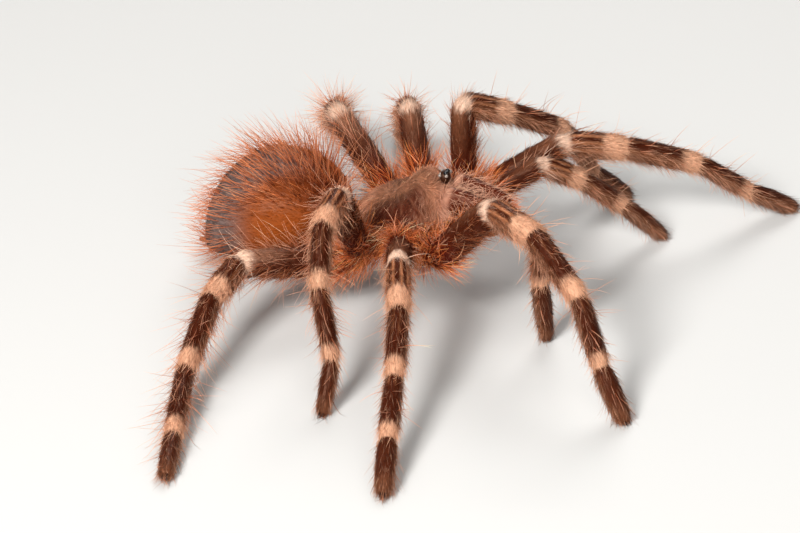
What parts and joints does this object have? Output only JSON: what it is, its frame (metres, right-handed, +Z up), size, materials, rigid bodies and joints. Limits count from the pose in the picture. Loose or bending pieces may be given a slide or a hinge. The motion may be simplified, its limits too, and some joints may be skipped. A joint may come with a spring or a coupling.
{
  "type": "tarantula model",
  "caption": "Still life-size model of a giant white-knee tarantula: dark banded legs, grey-brown carapace and a large red-haired abdomen, standing on a flat floor.",
  "frame": {"origin": "on the floor, under the middle of the animal's box", "axes": "+X towards the head, +Y to the animal's left, +Z up"},
  "size_m": [0.132, 0.1626, 0.0403],
  "materials": {
    "leg_hair": "short dark brown velvet with cream bands at the ends of the segments and long thin bristles",
    "abdomen_hair": "long red-orange bristles over orange-brown skin with a blue-grey patch on the back",
    "carapace_hair": "short grey-brown silky hair lying outwards from the middle",
    "jaw_hair": "red-brown hair with longer pinkish bristles",
    "skin": "dark leathery skin, almost hidden by hair",
    "eye": "polished black domes",
    "fang": "polished black horn"
  },
  "bodies": {
    "root": {"leg_l1_femur": "leg_hair", "leg_l1_patella": "leg_hair", "leg_l1_tibia": "leg_hair", "leg_l1_metatarsus": "leg_hair", "leg_l1_tarsus": "leg_hair", "leg_l2_femur": "leg_hair", "leg_l2_patella": "leg_hair", "leg_l2_tibia": "leg_hair", "leg_l2_metatarsus": "leg_hair", "leg_l2_tarsus": "leg_hair", "leg_l3_femur": "leg_hair", "leg_l3_patella": "leg_hair", "leg_l3_tibia": "leg_hair", "leg_l3_metatarsus": "leg_hair", "leg_l3_tarsus": "leg_hair", "leg_l4_femur": "leg_hair", "leg_l4_patella": "leg_hair", "leg_l4_tibia": "leg_hair", "leg_l4_metatarsus": "leg_hair", "leg_l4_tarsus": "leg_hair", "palp_l_femur": "leg_hair", "palp_l_patella": "leg_hair", "palp_l_tibia": "leg_hair", "palp_l_tarsus": "leg_hair", "chelicera_l": "jaw_hair", "fang_l": "fang", "spinneret_l": "abdomen_hair", "leg_r1_femur": "leg_hair", "leg_r1_patella": "leg_hair", "leg_r1_tibia": "leg_hair", "leg_r1_metatarsus": "leg_hair", "leg_r1_tarsus": "leg_hair", "leg_r2_femur": "leg_hair", "leg_r2_patella": "leg_hair", "leg_r2_tibia": "leg_hair", "leg_r2_metatarsus": "leg_hair", "leg_r2_tarsus": "leg_hair", "leg_r3_femur": "leg_hair", "leg_r3_patella": "leg_hair", "leg_r3_tibia": "leg_hair", "leg_r3_metatarsus": "leg_hair", "leg_r3_tarsus": "leg_hair", "leg_r4_femur": "leg_hair", "leg_r4_patella": "leg_hair", "leg_r4_tibia": "leg_hair", "leg_r4_metatarsus": "leg_hair", "leg_r4_tarsus": "leg_hair", "palp_r_femur": "leg_hair", "palp_r_patella": "leg_hair", "palp_r_tibia": "leg_hair", "palp_r_tarsus": "leg_hair", "chelicera_r": "jaw_hair", "fang_r": "fang", "spinneret_r": "abdomen_hair", "carapace": "carapace_hair", "sternum": "skin", "eye_tubercle": "eye", "abdomen": "abdomen_hair", "pedicel": "skin"}
  },
  "joints": []
}
